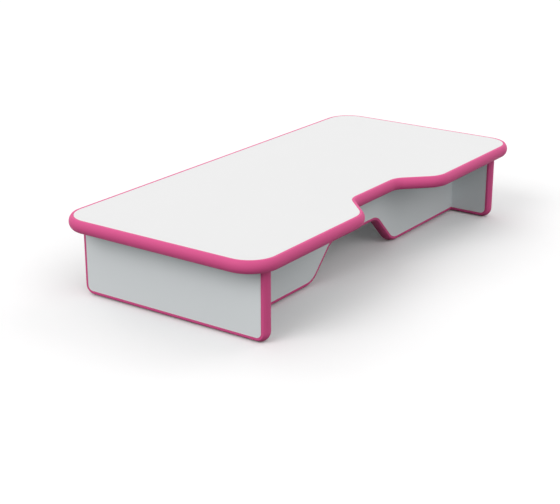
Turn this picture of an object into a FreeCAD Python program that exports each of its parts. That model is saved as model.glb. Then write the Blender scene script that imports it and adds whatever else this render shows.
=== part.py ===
import FreeCAD, Part
import math
import os

# Desktop riser: a laminated top on two end panels, stiffened by a back panel.
# Every board has a chipboard core, a thin laminate on each face and a plastic
# T-section edging driven into a groove that is sawn round its open edges.
# Origin: centre of the footprint at desk level. +Z is up, X runs along the
# length, and the cable notch is in the long edge on the -Y side (the rear).

V = FreeCAD.Vector

# ---- driving dimensions, millimetres ----
TOP_LENGTH = 735.0          # the board alone, without its edging
TOP_WIDTH = 340.0
STAND_HEIGHT = 127.0
CORNER_R = 40.0

BOARD_T = 18.0              # finished board, laminates included
LAMINATE_T = 0.4

NOTCH_MOUTH = 231.0         # cable notch in the rear edge of the top
NOTCH_DEPTH = 51.5
CUTOUT_MOUTH = 235.0        # cable cut-out in the lower edge of the back panel
CUTOUT_DEPTH = 51.0
SLOPE_ANGLE = 45.0          # side slopes of both, from the edge
NOTCH_MOUTH_R = 40.0        # their outer pairs of corners
CUTOUT_MOUTH_R = 32.0
INNER_R = 34.0              # inner pair of corners of both

END_INSET = 32.5            # end of the top board to the end panel's outer face
REAR_OVERHANG = 18.0        # rear edge of the top to the end panel's rear edge
FRONT_OVERHANG = 13.0
FOOT_R = 8.0                # lower corners of the end panels
BACK_PANEL_SET = 82.0       # rear edge of the top to the back panel's rear face

# ---- edging: nose outside, barbed tongue in the sawn groove ----
NOSE_DEPTH = 7.5
NOSE_CROWN_R = 12.5         # radius of the nose's face
EDGING_GAP = 0.1            # nose to the board's edge
TONGUE_T = 1.6
TONGUE_DEPTH = 9.0
BARB_H = 0.45
BARB_LENGTH = 2.2
BARB_COUNT = 3
TONGUE_RELIEF = 4.0         # the tongue is cut away round corners and this far before them
GROOVE_T = 2.8
GROOVE_DEPTH = 10.5

# ---- glued plate joints: lens-shaped wooden biscuits in sawn slots ----
BISCUIT_LENGTH = 53.0
BISCUIT_WIDTH = 19.0
BISCUIT_T = 4.0
BISCUIT_TIP = 4.0           # width of its blunt ends
BLADE_R = 50.0
SLOT_GAP = 0.15             # slot to biscuit, on each side and at its deepest
END_BISCUITS = 3            # along the head of each end panel
END_BISCUIT_PITCH = 100.0
BACK_BISCUITS = 4           # along the head of the back panel
BACK_BISCUIT_PITCH = 160.0
BACK_END_BISCUIT_Z = 58.0   # the one in each end of the back panel

# ---- worked out from them ----
CORE_T = BOARD_T - 2 * LAMINATE_T
UNDERSIDE_Z = STAND_HEIGHT - BOARD_T
END_LENGTH = TOP_WIDTH - REAR_OVERHANG - FRONT_OVERHANG
END_MID_Y = (REAR_OVERHANG - FRONT_OVERHANG) / 2
END_OUTER_X = TOP_LENGTH / 2 - END_INSET
END_INNER_X = END_OUTER_X - BOARD_T
BACK_REAR_Y = -TOP_WIDTH / 2 + BACK_PANEL_SET
BACK_MID_Y = BACK_REAR_Y + BOARD_T / 2
SLOT_T = BISCUIT_T + 2 * SLOT_GAP
SLOT_DEPTH = BISCUIT_WIDTH / 2 + SLOT_GAP


# ---- outlines: corners are (x, y, radius) in the board's own plane ----
def trapezoid_notch(mouth, depth, mouth_r, edge_y):
    """Corners of a notch that opens downwards in a straight edge, left to right."""
    run = depth / math.tan(math.radians(SLOPE_ANGLE))
    inner = mouth / 2 - run
    top_y = edge_y + depth
    return [
        (-mouth / 2, edge_y, mouth_r),
        (-inner, top_y, INNER_R),
        (inner, top_y, INNER_R),
        (mouth / 2, edge_y, mouth_r),
    ]


def top_corners():
    """The top board, anticlockwise from its rear left corner."""
    x = TOP_LENGTH / 2
    y = TOP_WIDTH / 2
    notch = trapezoid_notch(NOTCH_MOUTH, NOTCH_DEPTH, NOTCH_MOUTH_R, -y)
    return [(-x, -y, CORNER_R)] + notch + [
        (x, -y, CORNER_R),
        (x, y, CORNER_R),
        (-x, y, CORNER_R),
    ]


def end_corners():
    """An end panel, down one side, along the foot and up the other."""
    half = END_LENGTH / 2
    return [
        (-half, UNDERSIDE_Z, 0),
        (-half, NOSE_DEPTH, FOOT_R),
        (half, NOSE_DEPTH, FOOT_R),
        (half, UNDERSIDE_Z, 0),
    ]


def back_corners():
    """The back panel's lower edge from end to end, round the cut-out."""
    notch = trapezoid_notch(CUTOUT_MOUTH, CUTOUT_DEPTH, CUTOUT_MOUTH_R, NOSE_DEPTH)
    return [(-END_INNER_X, NOSE_DEPTH, 0)] + notch + [(END_INNER_X, NOSE_DEPTH, 0)]


def rounded_edges(corners, closed):
    """Lines and tangent arcs through the corners, in order."""
    ends = []
    count = len(corners)
    for i, (x, y, radius) in enumerate(corners):
        here = V(x, y, 0)
        if radius == 0:
            ends.append((here, None, here))
            continue
        before = (V(*corners[i - 1][:2], 0) - here).normalize()
        after = (V(*corners[(i + 1) % count][:2], 0) - here).normalize()
        half_turn = (math.pi - before.getAngle(after)) / 2
        reach = radius * math.tan(half_turn)
        middle = here + (before + after).normalize() * (radius / math.cos(half_turn) - radius)
        ends.append((here + before * reach, middle, here + after * reach))
    edges = []
    for i, (start, middle, end) in enumerate(ends):
        if middle is not None:
            edges.append(Part.Arc(start, middle, end).toShape())
        if closed or i < count - 1:
            following = ends[(i + 1) % count][0]
            edges.append(Part.makeLine(end, following))
    return edges


def closed_face(edges):
    """Flat face inside a run of edges, closed by a straight side if it is open."""
    first = edges[0].firstVertex(True).Point
    last = edges[-1].lastVertex(True).Point
    loop = list(edges)
    if first.distanceToPoint(last) > 1e-6:
        loop.append(Part.makeLine(last, first))
    return Part.Face(Part.Wire(loop))


def back_outline(edges):
    """The back panel's face: its lower edge, both ends and its top edge."""
    left_top = V(-END_INNER_X, UNDERSIDE_Z, 0)
    right_top = V(END_INNER_X, UNDERSIDE_Z, 0)
    first = edges[0].firstVertex(True).Point
    last = edges[-1].lastVertex(True).Point
    sides = [Part.makeLine(last, right_top), Part.makeLine(right_top, left_top)]
    sides.append(Part.makeLine(left_top, first))
    return Part.Face(Part.Wire(edges + sides))


# ---- sections of the edging and its groove: (outwards, across the board) ----
def section_face(points, arcs):
    """Closed section; arcs maps the index of a side to a point that it bulges through."""
    sides = []
    for i, point in enumerate(points):
        following = points[(i + 1) % len(points)]
        start = V(point[0], 0, point[1])
        end = V(following[0], 0, following[1])
        if i in arcs:
            bulge = V(arcs[i][0], 0, arcs[i][1])
            sides.append(Part.Arc(start, bulge, end).toShape())
        else:
            sides.append(Part.makeLine(start, end))
    return Part.Face(Part.Wire(sides))


def nose_section():
    """Nose as wide as the board is thick, with flat flanks and a crowned face."""
    half = BOARD_T / 2
    arris = NOSE_DEPTH - NOSE_CROWN_R + math.sqrt(NOSE_CROWN_R ** 2 - half ** 2)
    points = [(EDGING_GAP, half), (arris, half), (arris, -half), (EDGING_GAP, -half)]
    return section_face(points, {1: (NOSE_DEPTH, 0)})


def tongue_section():
    """Barbed tongue: each barb is steep towards the nose and slopes to the tip."""
    flank = [(EDGING_GAP, TONGUE_T / 2)]
    for i in range(BARB_COUNT):
        start = TONGUE_DEPTH - (BARB_COUNT - i) * BARB_LENGTH
        flank.append((-start, TONGUE_T / 2))
        flank.append((-start, TONGUE_T / 2 + BARB_H))
    flank.append((-TONGUE_DEPTH, TONGUE_T / 2))
    mirrored = [(x, -z) for x, z in reversed(flank)]
    return section_face(flank + mirrored, {})


def groove_section(depth):
    """Saw kerf for the tongue, open at the board's edge."""
    half = GROOVE_T / 2
    points = [(EDGING_GAP, half), (-depth, half), (-depth, -half), (EDGING_GAP, -half)]
    return section_face(points, {})


def start_and_heading(edge):
    """Where an edge starts, and its direction there."""
    along = edge.tangentAt(edge.FirstParameter)
    if edge.Orientation == "Reversed":
        along = edge.tangentAt(edge.LastParameter) * -1
    return edge.firstVertex(True).Point, along


def section_at(section, point, along):
    """The section stood across a direction of travel, its outwards to the right."""
    placed = section.copy()
    placed.rotate(V(0, 0, 0), V(0, 0, 1), math.degrees(math.atan2(along.y, along.x)) - 90)
    placed.translate(point)
    return placed


def run_section(edges, section):
    """Carry a section along lines and arcs."""
    pieces = []
    for edge in edges:
        start, along = start_and_heading(edge)
        placed = section_at(section, start, along)
        if isinstance(edge.Curve, Part.Line):
            pieces.append(placed.extrude(along * edge.Length))
        else:
            centre = edge.Curve.Center
            turn = math.degrees(edge.Length / edge.Curve.Radius)
            side = along.cross(centre - start).z
            pieces.append(placed.revolve(centre, V(0, 0, math.copysign(1, side)), turn))
    return pieces


def run_groove(edges):
    """The groove; round a tight corner it is only as deep as the corner's radius."""
    pieces = []
    for edge in edges:
        depth = GROOVE_DEPTH
        if not isinstance(edge.Curve, Part.Line):
            depth = min(depth, edge.Curve.Radius)
        pieces += run_section([edge], groove_section(depth))
    return pieces


def straight_tongues(edges):
    """Tongue along the straight stretches, cut away at their ends."""
    section = tongue_section()
    tongues = []
    for edge in edges:
        if isinstance(edge.Curve, Part.Line):
            start, along = start_and_heading(edge)
            placed = section_at(section, start + along * TONGUE_RELIEF, along)
            tongues.append(placed.extrude(along * (edge.Length - 2 * TONGUE_RELIEF)))
    return tongues


def fused(pieces):
    return pieces[0].multiFuse(pieces[1:]).removeSplitter()


# ---- a finished board, lying flat with its lower face at z = 0 ----
def flat_board(face, edges):
    """Core, lower laminate, upper laminate and edging of one board."""
    up = V(0, 0, 1)
    groove = fused(run_groove(edges))
    edging = fused(run_section(edges, nose_section()) + straight_tongues(edges))
    for strip in (groove, edging):
        strip.translate(up * (BOARD_T / 2))
    blank = face.extrude(up * CORE_T)
    blank.translate(up * LAMINATE_T)
    lower = face.extrude(up * LAMINATE_T)
    upper = lower.translated(up * (BOARD_T - LAMINATE_T))
    return {"core": blank.cut(groove), "lower": lower, "upper": upper, "edging": edging}


def stand_up(shape, x_axis, y_axis, origin):
    """Turn a flat board so that its own x and y run along the given directions."""
    z_axis = x_axis.cross(y_axis)
    matrix = FreeCAD.Matrix(
        x_axis.x, y_axis.x, z_axis.x, origin.x,
        x_axis.y, y_axis.y, z_axis.y, origin.y,
        x_axis.z, y_axis.z, z_axis.z, origin.z,
        0, 0, 0, 1,
    )
    turned = shape.copy()
    turned.Placement = FreeCAD.Placement(matrix) * shape.Placement
    return turned


def top_board():
    """The top, with its cable notch in the rear edge."""
    edges = rounded_edges(top_corners(), True)
    board = flat_board(closed_face(edges), edges)
    place = {name: shape.translated(V(0, 0, UNDERSIDE_Z)) for name, shape in board.items()}
    return {
        "top_core": place["core"],
        "top_underside_laminate": place["lower"],
        "top_face_laminate": place["upper"],
        "top_edging": place["edging"],
    }


def end_panel(side, name):
    """An end panel: side is -1 at the left end and +1 at the right end."""
    edges = rounded_edges(end_corners(), False)
    board = flat_board(closed_face(edges), edges)
    left_face_x = END_INNER_X if side > 0 else -END_OUTER_X
    origin = V(left_face_x, END_MID_Y, 0)
    place = {key: stand_up(shape, V(0, 1, 0), V(0, 0, 1), origin) for key, shape in board.items()}
    outer, inner = ("upper", "lower") if side > 0 else ("lower", "upper")
    return {
        name + "_core": place["core"],
        name + "_outer_laminate": place[outer],
        name + "_inner_laminate": place[inner],
        name + "_edging": place["edging"],
    }


def back_panel():
    """The stiffening panel between the ends, with its cable cut-out."""
    edges = rounded_edges(back_corners(), False)
    board = flat_board(back_outline(edges), edges)
    origin = V(0, BACK_REAR_Y + BOARD_T, 0)
    place = {key: stand_up(shape, V(1, 0, 0), V(0, 0, 1), origin) for key, shape in board.items()}
    return {
        "back_panel_core": place["core"],
        "back_panel_front_laminate": place["lower"],
        "back_panel_rear_laminate": place["upper"],
        "back_panel_edging": place["edging"],
    }


# ---- plate joints ----
def biscuit(centre, along, into):
    """Lens-shaped plate across a joint: along its length, into across its width."""
    reach = BISCUIT_LENGTH / 2
    tip = BISCUIT_TIP / 2
    belly = BISCUIT_WIDTH / 2
    corners = [(-reach, tip), (reach, tip), (reach, -tip), (-reach, -tip)]
    plan = section_face(corners, {0: (0, belly), 2: (0, -belly)})
    plate = plan.extrude(V(0, BISCUIT_T, 0)).translated(V(0, -BISCUIT_T / 2, 0))
    return stand_up(plate, along, into.cross(along), centre)


def saw_cut(centre, along, into):
    """What a round blade takes out of the board on one side of a joint."""
    across = into.cross(along)
    middle = centre - into * (BLADE_R - SLOT_DEPTH)
    blade = Part.makeCylinder(BLADE_R, SLOT_T, middle - across * (SLOT_T / 2), across)
    return blade


def plate_joints(parts, name, places, along, into, holders, mates):
    """Biscuits at each place, and their slots in the boards on both sides."""
    plates = []
    for centre in places:
        plates.append(biscuit(centre, along, into))
        for board in holders:
            parts[board] = parts[board].cut(saw_cut(centre, along, into))
        for board in mates:
            parts[board] = parts[board].cut(saw_cut(centre, along, into * -1))
    parts[name] = Part.makeCompound(plates)


def spread(count, pitch):
    """Positions of count things at a pitch, centred on zero."""
    return [(i - (count - 1) / 2) * pitch for i in range(count)]


def join_boards(parts):
    """Every plate joint: ends to top, back panel to top, back panel to ends."""
    down = V(0, 0, -1)
    top_boards = ["top_core", "top_underside_laminate"]
    for side, end in ((-1, "left_end"), (1, "right_end")):
        x = side * (END_OUTER_X + END_INNER_X) / 2
        places = [V(x, END_MID_Y + y, UNDERSIDE_Z) for y in spread(END_BISCUITS, END_BISCUIT_PITCH)]
        plate_joints(parts, end + "_top_biscuits", places, V(0, 1, 0), down, [end + "_core"], top_boards)
        places = [V(side * END_INNER_X, BACK_MID_Y, BACK_END_BISCUIT_Z)]
        mates = [end + "_core", end + "_inner_laminate"]
        name = end + "_back_biscuit"
        plate_joints(parts, name, places, V(0, 0, 1), V(-side, 0, 0), ["back_panel_core"], mates)
    places = [V(x, BACK_MID_Y, UNDERSIDE_Z) for x in spread(BACK_BISCUITS, BACK_BISCUIT_PITCH)]
    plate_joints(parts, "back_panel_top_biscuits", places, V(1, 0, 0), down, ["back_panel_core"], top_boards)


def build():
    parts = {}
    parts.update(top_board())
    parts.update(end_panel(-1, "left_end"))
    parts.update(end_panel(1, "right_end"))
    parts.update(back_panel())
    join_boards(parts)
    return parts


os.makedirs("parts", exist_ok=True)
for node, shape in build().items():
    shape.exportStep("parts/" + node + ".step")
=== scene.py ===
import math

import bpy
import numpy as np
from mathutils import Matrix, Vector


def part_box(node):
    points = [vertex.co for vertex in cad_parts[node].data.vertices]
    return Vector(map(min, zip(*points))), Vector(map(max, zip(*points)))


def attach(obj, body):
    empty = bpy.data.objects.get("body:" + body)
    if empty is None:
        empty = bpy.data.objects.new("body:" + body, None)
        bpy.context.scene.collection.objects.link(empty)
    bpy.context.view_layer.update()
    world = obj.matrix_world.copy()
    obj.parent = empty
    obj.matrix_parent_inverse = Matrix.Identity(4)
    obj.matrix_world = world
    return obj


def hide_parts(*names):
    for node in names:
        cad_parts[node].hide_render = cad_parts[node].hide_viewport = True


# Desktop riser: white laminated boards with pink extruded edging.
# The boards, laminates and joint plates are the frame's own solids with better
# finishes. The edging is made here, as a smooth section carried along each board.

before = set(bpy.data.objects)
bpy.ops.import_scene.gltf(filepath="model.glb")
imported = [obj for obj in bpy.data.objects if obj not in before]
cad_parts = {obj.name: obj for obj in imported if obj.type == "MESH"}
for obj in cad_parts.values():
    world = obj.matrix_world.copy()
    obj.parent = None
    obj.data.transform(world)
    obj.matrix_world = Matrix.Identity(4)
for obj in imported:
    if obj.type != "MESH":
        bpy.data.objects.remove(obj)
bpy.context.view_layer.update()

# ---- the boards, in metres ----
CORNER_R = 0.040            # the top's own corners
NOTCH_MOUTH_R = 0.040       # outer corners of the notch, then of the cut-out
CUTOUT_MOUTH_R = 0.032
INNER_R = 0.034             # inner corners of both
NOTCH_MOUTH = 0.231
NOTCH_DEPTH = 0.0515
CUTOUT_MOUTH = 0.235
CUTOUT_DEPTH = 0.051
SLOPE = math.radians(45)    # side slopes of both
FOOT_R = 0.008

# ---- edging ----
NOSE_DEPTH = 0.0075
NOSE_CROWN_R = 0.0125       # radius of the nose's face
NOSE_R = 0.001              # rounding of its shoulders
NOSE_ARRIS = 0.00025        # tiny bevel beside the laminate
EDGING_GAP = 0.0001
TONGUE_T = 0.0016
TONGUE_DEPTH = 0.009
TONGUE_RELIEF = 0.004       # cut away this far before a corner
BARB_H = 0.00045
BARB_LENGTH = 0.0022
BARB_COUNT = 3
TONGUE_ROOT = 0.001         # how far the tongue starts inside the nose
SHORTEST_TONGUE = 3 * TONGUE_RELIEF     # a shorter straight has no tongue
ARC_STEP = math.radians(2.5)            # largest turn between points of a corner
NOSE_SHOULDER_POINTS = 13
NOSE_CROWN_POINTS = 11
SAME_DIRECTION = 1e-6                   # normals closer than this are parallel
SHARP_ARRIS = math.radians(28)          # an edge that turns more is shaded sharp

# ---- colours and sheens ----
PINK = (0.735, 0.094, 0.278, 1.0)
PINK_PALE = (0.755, 0.104, 0.298, 1.0)
# The top and the panels are lit and shaded copies of one laminate. The top's copy is darker and
# neutral to offset its fuller light. The panels' copy is paler and cooler as painted shade.
LIT_TOP_WHITE_COPY = (0.783, 0.783, 0.783, 1.0)
SHADED_PANEL_WHITE_COPY = (0.845, 0.875, 0.885, 1.0)
PLAIN_SHEEN = (1.0, 1.0, 1.0, 1.0)
# the panels' cool specular tint is a painted cool reflection that stands in for their shade
PAINTED_COOL_SHADE_SHEEN = (0.2, 0.8, 1.0, 1.0)
CLOUD_GAIN = 1.015          # how much paler the laminate's faint clouds are

# ---- camera and light, angles in degrees ----
CAMERA_AT = Vector((-1.5917, -1.0680, 0.6938))
VIEW_BEARING = 35.151       # of the view, from +X towards +Y
VIEW_TILT = 19.920          # below the horizon
LENS_MM = 82.39
SENSOR_MM = 36.0
FLOOR_SIZE = 16.0
FLOOR_BOUNCE = (0.05, 0.05, 0.05, 1.0)  # the floor's colour to the light it sends on
FLOOR_SEEN = (1.0, 1.0, 1.0, 1.0)       # and where it is looked at
ROOM_GLOW = 0.65            # strength of the room's own even light
# a ring of soft lamps, a quarter turn apart: beside the near end, then behind the
# riser, beside its far end, and in front of it
RING_BEARING = 165.0        # of the first lamp, from +X towards +Y
RING_HEIGHT = 35.0          # above the horizon
LAMP_SPREAD = 40.0
RING_STRENGTHS = (1.1, 0.5, 0.4, 0.3)


# ---- meshes ----
def corner_arc(before, here, after, radius):
    """Rounded corner of a path: centre plus radius times the turning unit vector,
    from the tangent point on the side before to the one on the side after."""
    along_in = (here - before) / np.linalg.norm(here - before)
    along_out = (after - here) / np.linalg.norm(after - here)
    turn = math.atan2(
        along_in[0] * along_out[1] - along_in[1] * along_out[0], float(along_in @ along_out)
    )
    reach = radius * math.tan(abs(turn) / 2)
    side = math.copysign(1.0, turn)
    left_in = np.array([-along_in[1], along_in[0]])
    centre = here - along_in * reach + left_in * side * radius
    steps = max(2, math.ceil(abs(turn) / ARC_STEP)) + 1
    heading = math.atan2(along_in[1], along_in[0]) + np.linspace(0.0, turn, steps)
    outward = np.stack([np.sin(heading), -np.cos(heading)], axis=1)
    return centre + outward * side * radius, outward


def rounded_path(corners):
    """Points along a board's edge and their outward unit normals: straight runs
    joined by tangent arcs. Outwards is to the right of the direction of travel."""
    count = len(corners)
    points, outwards = [], []
    for i, (x, y, radius) in enumerate(corners):
        here = np.array([x, y])
        if radius > 0:
            before = np.array(corners[i - 1][:2])
            after = np.array(corners[(i + 1) % count][:2])
            arc, outward = corner_arc(before, here, after, radius)
        else:
            other = np.array(corners[i + 1 if i == 0 else i - 1][:2])
            along = (other - here if i == 0 else here - other) / np.linalg.norm(other - here)
            arc = here[None, :]
            outward = np.array([[along[1], -along[0]]])
        points.append(arc)
        outwards.append(outward)
    return np.concatenate(points), np.concatenate(outwards)


def arc_points(centre, radius, start, end, steps):
    """Points of a circle's arc: centre plus radius times (cos a, sin a)."""
    angle = np.linspace(start, end, steps)
    return np.stack([centre[0] + radius * np.cos(angle), centre[1] + radius * np.sin(angle)], axis=1)


def nose_section(thickness):
    """Section of the nose, (outwards, across): a crowned face between two rounded
    shoulders, each tangent to the crown and to the board's face."""
    half = thickness / 2
    crown_x = NOSE_DEPTH - NOSE_CROWN_R
    shoulder_x = crown_x + math.sqrt((NOSE_CROWN_R - NOSE_R) ** 2 - (half - NOSE_R) ** 2)
    meet = math.atan2(half - NOSE_R, shoulder_x - crown_x)
    upper = arc_points((shoulder_x, half - NOSE_R), NOSE_R, math.pi / 2, meet, NOSE_SHOULDER_POINTS)
    crown = arc_points((crown_x, 0.0), NOSE_CROWN_R, meet, -meet, NOSE_CROWN_POINTS)[1:-1]
    lower = upper[::-1] * (1, -1)
    inner_top = np.array([[EDGING_GAP, half - NOSE_ARRIS], [EDGING_GAP + NOSE_ARRIS, half]])
    return np.concatenate([inner_top, upper, crown, lower, inner_top[::-1] * (1, -1)])


def tongue_section():
    """Section of the barbed tongue: each barb is steep towards the nose and slopes
    to the tip."""
    first = TONGUE_DEPTH - BARB_COUNT * BARB_LENGTH
    start = first + BARB_LENGTH * np.arange(BARB_COUNT)
    half = TONGUE_T / 2
    root = np.full(BARB_COUNT, half)
    barbs = np.stack([-start, root, -start, root + BARB_H], axis=1)
    flank = np.concatenate([[[TONGUE_ROOT, half]], barbs.reshape(-1, 2), [[-TONGUE_DEPTH, half]]])
    return np.concatenate([flank[::-1] * (1, -1), flank])[::-1]


def swept(section, points, outwards, closed, place):
    """Grid of vertices point + outward * section x, lifted by section y, as
    (vertices, faces, uv): u runs along the path and v round the section, in metres."""
    ring = len(section)
    rows = len(points)
    plan = points[:, None, :] + outwards[:, None, :] * section[None, :, :1]
    lift = np.broadcast_to(section[None, :, 1:], (rows, ring, 1))
    local = np.concatenate([plan, lift], axis=2).reshape(-1, 3)
    vertices = place["origin"] + local @ np.stack([place["x"], place["y"], place["z"]])
    row = np.arange(rows if closed else rows - 1)
    column = np.arange(ring)
    a = row[:, None] * ring + column
    b = ((row + 1) % rows)[:, None] * ring + column
    after = (column + 1) % ring
    quads = np.stack([a, b, b - column + after, a - column + after], axis=2).reshape(-1, 4)
    run = np.append(0.0, np.cumsum(np.linalg.norm(np.roll(points, -1, axis=0) - points, axis=1)))
    girth = np.append(0.0, np.cumsum(np.linalg.norm(np.roll(section, -1, axis=0) - section, axis=1)))
    u = np.stack([run[row], run[row + 1], run[row + 1], run[row]], axis=1)
    v = np.stack([girth[column], girth[column], girth[column + 1], girth[column + 1]], axis=1)
    uv = np.stack(np.broadcast_arrays(u[:, None, :], v[None, :, :]), axis=3).reshape(-1, 2)
    faces = quads.tolist()
    if not closed:
        caps = [column[::-1].tolist(), (column + (rows - 1) * ring).tolist()]
        faces += caps
        uv = np.concatenate([uv, section[::-1], section])
    return vertices, faces, uv


def straight_runs(points, outwards, closed):
    """Start, end and outward normal of each straight stretch, shortened for relief."""
    ends = np.roll(points, -1, axis=0)
    same = np.abs(outwards - np.roll(outwards, -1, axis=0)).max(axis=1) < SAME_DIRECTION
    if not closed:
        same[-1] = False
    length = np.linalg.norm(ends - points, axis=1)
    for i in np.nonzero(same & (length > SHORTEST_TONGUE))[0]:
        along = (ends[i] - points[i]) / length[i]
        pair = np.stack([points[i] + along * TONGUE_RELIEF, ends[i] - along * TONGUE_RELIEF])
        yield pair, np.stack([outwards[i], outwards[i]])


def make_mesh(name, parts):
    """One object from several (vertices, faces, uv) parts, smooth but for its arrises."""
    offset = 0
    vertices, faces, uvs = [], [], []
    for part_vertices, part_faces, part_uv in parts:
        vertices.append(part_vertices)
        faces += [[index + offset for index in face] for face in part_faces]
        uvs.append(part_uv)
        offset += len(part_vertices)
    mesh = bpy.data.meshes.new(name)
    mesh.from_pydata(np.concatenate(vertices).tolist(), [], faces)
    layer = mesh.uv_layers.new(name="run_and_girth")
    layer.data.foreach_set("uv", np.concatenate(uvs).astype(np.float32).ravel())
    mesh.polygons.foreach_set("use_smooth", np.ones(len(mesh.polygons), bool))
    mesh.set_sharp_from_angle(angle=SHARP_ARRIS)
    mesh.validate()
    made = bpy.data.objects.new(name, mesh)
    bpy.context.scene.collection.objects.link(made)
    return made


def edging(name, corners, closed, place, thickness):
    """Extruded strip round a board: the nose all along, the tongue where it is straight."""
    points, outwards = rounded_path(corners)
    parts = [swept(nose_section(thickness), points, outwards, closed, place)]
    for pair, pair_outwards in straight_runs(points, outwards, closed):
        parts.append(swept(tongue_section(), pair, pair_outwards, False, place))
    strip = make_mesh(name + "_strip", parts)
    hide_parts(name)
    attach(strip, "root")
    return strip


def trapezoid_notch(mouth, depth, mouth_r, edge_y):
    """Corners (x, y, radius) of a notch in a straight edge, left to right. The inner
    half width is half the mouth less the depth over the slope's tangent."""
    inner = mouth / 2 - depth / math.tan(SLOPE)
    return [
        (-mouth / 2, edge_y, mouth_r),
        (-inner, edge_y + depth, INNER_R),
        (inner, edge_y + depth, INNER_R),
        (mouth / 2, edge_y, mouth_r),
    ]


def axes(x, y, origin):
    """Where a board's own plane lies: its x and y directions and its middle."""
    x = np.array(x, float)
    y = np.array(y, float)
    return {"x": x, "y": y, "z": np.cross(x, y), "origin": np.array(origin, float)}


def top_strip():
    """Edging round the top and through its cable notch."""
    low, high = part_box("top_core")
    face_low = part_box("top_underside_laminate")[0].z
    face_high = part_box("top_face_laminate")[1].z
    notch = trapezoid_notch(NOTCH_MOUTH, NOTCH_DEPTH, NOTCH_MOUTH_R, low.y)
    corners = [(low.x, low.y, CORNER_R)] + notch
    corners += [(high.x, low.y, CORNER_R), (high.x, high.y, CORNER_R), (low.x, high.y, CORNER_R)]
    place = axes((1, 0, 0), (0, 1, 0), (0, 0, (face_low + face_high) / 2))
    return edging("top_edging", corners, True, place, face_high - face_low)


def end_strip(end):
    """Edging down one side of an end panel, along its foot and up the other."""
    low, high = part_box(end + "_core")
    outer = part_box(end + "_outer_laminate")
    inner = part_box(end + "_inner_laminate")
    face_low = min(outer[0].x, inner[0].x)
    face_high = max(outer[1].x, inner[1].x)
    corners = [
        (low.y, high.z, 0),
        (low.y, low.z, FOOT_R),
        (high.y, low.z, FOOT_R),
        (high.y, high.z, 0),
    ]
    place = axes((0, 1, 0), (0, 0, 1), ((face_low + face_high) / 2, 0, 0))
    return edging(end + "_edging", corners, False, place, face_high - face_low)


def back_strip():
    """Edging along the lower edge of the back panel and round its cable cut-out."""
    low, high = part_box("back_panel_core")
    face_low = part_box("back_panel_rear_laminate")[0].y
    face_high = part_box("back_panel_front_laminate")[1].y
    cutout = trapezoid_notch(CUTOUT_MOUTH, CUTOUT_DEPTH, CUTOUT_MOUTH_R, low.z)
    corners = [(low.x, low.z, 0)] + cutout + [(high.x, low.z, 0)]
    place = axes((1, 0, 0), (0, 0, 1), (0, (face_low + face_high) / 2, 0))
    return edging("back_panel_edging", corners, False, place, face_high - face_low)


# ---- finishes ----
class Value:
    """A socket in a finish's node tree. Arithmetic on it adds Math nodes."""

    def __init__(self, finish, socket):
        self.finish = finish
        self.socket = socket

    def out(self, name):
        """Another output of the same node."""
        return Value(self.finish, self.socket.node.outputs[name])

    def math(self, operation, first, second):
        """A Math node's result."""
        return self.finish.node("ShaderNodeMath", {"operation": operation}, {0: first, 1: second})

    def __add__(self, other):
        return self.math("ADD", self, other)

    def __mul__(self, other):
        return self.math("MULTIPLY", self, other)

    __radd__ = __add__
    __rmul__ = __mul__


class Finish:
    """A node tree under construction, of a material or of the world."""

    def __init__(self, owner):
        owner.use_nodes = True
        self.tree = owner.node_tree
        self.tree.nodes.clear()

    def node(self, kind, settings=None, sockets=None, output=0):
        """A node of any type: its settings first, then values or links of its sockets."""
        made = self.tree.nodes.new(kind)
        for name, value in (settings or {}).items():
            if name == "stops":
                ramp = made.color_ramp.elements
                while len(ramp) < len(value):
                    ramp.new(1.0)
                for stop, (position, colour) in zip(ramp, value):
                    stop.position = position
                    stop.color = (*colour, 1.0)
            else:
                setattr(made, name, value)
        for key, value in (sockets or {}).items():
            if isinstance(value, Value):
                self.tree.links.new(value.socket, made.inputs[key])
            else:
                made.inputs[key].default_value = value
        return Value(self, made.outputs[output]) if made.outputs else None

    def mix(self, factor, first, second):
        """Colour between two colours."""
        settings = {"data_type": "RGBA"}
        return self.node("ShaderNodeMix", settings, {0: factor, 6: first, 7: second}, 2)

    def noise(self, place, scale, detail=2.0, roughness=0.5):
        """Cloudy noise between 0 and 1."""
        sockets = {"Vector": place, "Scale": scale, "Detail": detail, "Roughness": roughness}
        return self.node("ShaderNodeTexNoise", None, sockets)

    def object_place(self):
        """Place in the object's own metres."""
        return self.node("ShaderNodeTexCoord", output="Object")

    def bump(self, height, distance, strength):
        """Normal of a surface raised by height times distance, in metres."""
        sockets = {"Height": height, "Distance": distance, "Strength": strength}
        return self.node("ShaderNodeBump", None, sockets)

    def surface(self, sockets):
        """The finish's one shader and its output."""
        shader = self.node("ShaderNodeBsdfPrincipled", None, sockets)
        self.node("ShaderNodeOutputMaterial", None, {"Surface": shader})


def white_laminate(name, colour, sheen):
    """Satin melamine laminate with a fine pearl emboss and a given sheen tint. The panels' copy has a
    paler, cooler colour and a cool sheen as painted shade.
    """
    material = bpy.data.materials.new(name)
    finish = Finish(material)
    place = finish.object_place()
    pearl = finish.noise(place, scale=900.0, detail=3.0, roughness=0.6)
    cloud = finish.noise(place, scale=9.0)
    paler = tuple(channel * CLOUD_GAIN for channel in colour[:3]) + (1.0,)
    finish.surface({
        "Base Color": finish.mix(cloud, colour, paler),
        "Roughness": cloud * 0.06 + 0.46,
        "Specular IOR Level": 0.35,
        "Specular Tint": sheen,
        "Normal": finish.bump(pearl, distance=0.00004, strength=0.6),
    })
    return material


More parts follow.
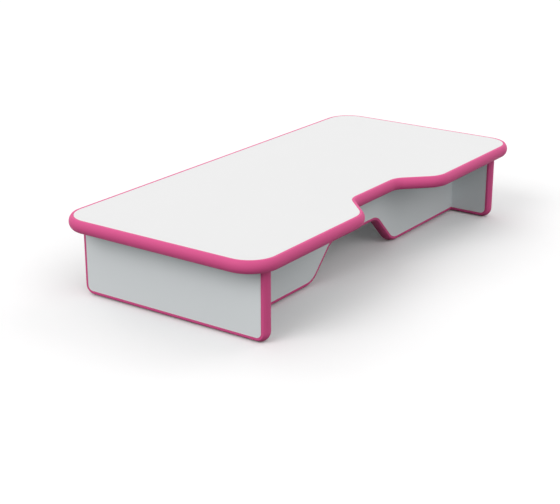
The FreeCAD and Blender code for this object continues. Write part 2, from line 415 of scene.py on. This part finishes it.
def pink_edging():
    """Satin extruded PVC, with faint drawing lines along its run."""
    material = bpy.data.materials.new("pink_edging")
    finish = Finish(material)
    uv = finish.node("ShaderNodeUVMap", {"uv_map": "run_and_girth"})
    streaks_at = finish.node("ShaderNodeMapping", None, {"Vector": uv, "Scale": (6.0, 1400.0, 1.0)})
    streaks = finish.noise(streaks_at, scale=1.0)
    place = finish.object_place()
    grain = finish.noise(place, scale=700.0, detail=3.0, roughness=0.6)
    finish.surface({
        "Base Color": finish.mix(streaks, PINK, PINK_PALE),
        "Roughness": grain * 0.08 + 0.52,
        "Specular IOR Level": 0.2,
        "Normal": finish.bump(streaks + grain, distance=0.000012, strength=0.6),
    })
    return material


def chipboard():
    """Pressed wood chips: flat flakes of a few millimetres in a paler dust."""
    material = bpy.data.materials.new("chipboard")
    finish = Finish(material)
    place = finish.object_place()
    chips = finish.node("ShaderNodeTexVoronoi", None, {"Vector": place, "Scale": 420.0}, "Color")
    shade = finish.node("ShaderNodeSeparateColor", None, {"Color": chips})
    stops = [(0.0, (0.23, 0.13, 0.06)), (0.4, (0.44, 0.29, 0.15)), (1.0, (0.62, 0.46, 0.28))]
    colour = finish.node("ShaderNodeValToRGB", {"stops": stops}, {"Fac": shade})
    finish.surface({
        "Base Color": colour,
        "Roughness": shade * 0.1 + 0.8,
        "Normal": finish.bump(shade, distance=0.0002, strength=0.5),
    })
    return material


def beech():
    """Pressed beech: straight fine grain with short dark flecks."""
    material = bpy.data.materials.new("beech_plate")
    finish = Finish(material)
    place = finish.object_place()
    grain_at = finish.node("ShaderNodeMapping", None, {"Vector": place, "Scale": (60.0, 900.0, 900.0)})
    grain = finish.noise(grain_at, scale=1.0, detail=4.0, roughness=0.6)
    stops = [(0.35, (0.42, 0.25, 0.13)), (0.65, (0.66, 0.46, 0.28))]
    colour = finish.node("ShaderNodeValToRGB", {"stops": stops}, {"Fac": grain})
    finish.surface({
        "Base Color": colour,
        "Roughness": grain * 0.15 + 0.55,
        "Normal": finish.bump(grain, distance=0.0001, strength=0.4),
    })
    return material


def paint():
    """Every visible solid's finish."""
    # the top face gets the lit copy, and every other laminate gets the shaded copy, painted paler and
    # cooler as shade
    lit_top_laminate = white_laminate("white_laminate_lit_top_copy", LIT_TOP_WHITE_COPY, PLAIN_SHEEN)
    shaded_panel_laminate = white_laminate("white_laminate_painted_shade_panel_copy", SHADED_PANEL_WHITE_COPY, PAINTED_COOL_SHADE_SHEEN)
    finishes = {"core": chipboard(), "biscuit": beech()}
    for name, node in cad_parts.items():
        if "laminate" in name:
            finish = lit_top_laminate if name == "top_face_laminate" else shaded_panel_laminate
        else:
            finish = finishes["core" if name.endswith("core") else "biscuit"]
        node.data.materials.clear()
        node.data.materials.append(finish)
    pink = pink_edging()
    for strip in (top_strip(), end_strip("left_end"), end_strip("right_end"), back_strip()):
        strip.data.materials.append(pink)


# ---- surroundings ----
def looked_at(finish):
    """1 where the camera, or a reflection or refraction, looks at the surroundings."""
    path = finish.node("ShaderNodeLightPath", output="Is Camera Ray")
    return path + path.out("Is Glossy Ray") + path.out("Is Transmission Ray")


def floor():
    """Plain pale floor that keeps the object's shadow."""
    half = FLOOR_SIZE / 2
    mesh = bpy.data.meshes.new("floor")
    corners = [(-half, -half, 0), (half, -half, 0), (half, half, 0), (-half, half, 0)]
    mesh.from_pydata(corners, [], [(0, 1, 2, 3)])
    plane = bpy.data.objects.new("floor", mesh)
    bpy.context.scene.collection.objects.link(plane)
    material = bpy.data.materials.new("floor")
    finish = Finish(material)
    colour = finish.mix(looked_at(finish), FLOOR_BOUNCE, FLOOR_SEEN)
    shader = finish.node("ShaderNodeBsdfDiffuse", None, {"Color": colour})
    finish.node("ShaderNodeOutputMaterial", None, {"Surface": shader})
    plane.data.materials.append(material)


def towards(bearing, height):
    """Unit vector at a bearing from +X towards +Y and a height above the horizon, in
    degrees: (cos h cos b, cos h sin b, sin h)."""
    turn = math.radians(bearing)
    rise = math.radians(height)
    return Vector((math.cos(rise) * math.cos(turn), math.cos(rise) * math.sin(turn), math.sin(rise)))


def lamp(bearing, strength):
    """Soft distant lamp of the ring, at a bearing in degrees."""
    bulb = bpy.data.lights.new("lamp", "SUN")
    bulb.energy = strength
    bulb.angle = math.radians(LAMP_SPREAD)
    holder = bpy.data.objects.new("lamp", bulb)
    bpy.context.scene.collection.objects.link(holder)
    holder.rotation_euler = towards(bearing, RING_HEIGHT).to_track_quat("Z", "Y").to_euler()


def light():
    """The ring of lamps and the room's even light. The surroundings are white where
    they are looked at."""
    world = bpy.data.worlds.new("studio")
    bpy.context.scene.world = world
    sky = Finish(world)
    glow = looked_at(sky) * (1 - ROOM_GLOW) + ROOM_GLOW
    background = sky.node("ShaderNodeBackground", None, {"Color": (1, 1, 1, 1), "Strength": glow})
    sky.node("ShaderNodeOutputWorld", None, {"Surface": background})
    step = 360.0 / len(RING_STRENGTHS)
    for place, strength in enumerate(RING_STRENGTHS):
        lamp(RING_BEARING + step * place, strength)


def camera():
    """Camera at the object's usual three-quarter view."""
    lens = bpy.data.cameras.new("camera")
    lens.lens = LENS_MM
    lens.sensor_width = SENSOR_MM
    eye = bpy.data.objects.new("camera", lens)
    bpy.context.scene.collection.objects.link(eye)
    eye.location = CAMERA_AT
    eye.rotation_euler = towards(VIEW_BEARING, -VIEW_TILT).to_track_quat("-Z", "Y").to_euler()
    bpy.context.scene.camera = eye


paint()
floor()
light()
camera()
bpy.context.scene.view_settings.view_transform = "Standard"
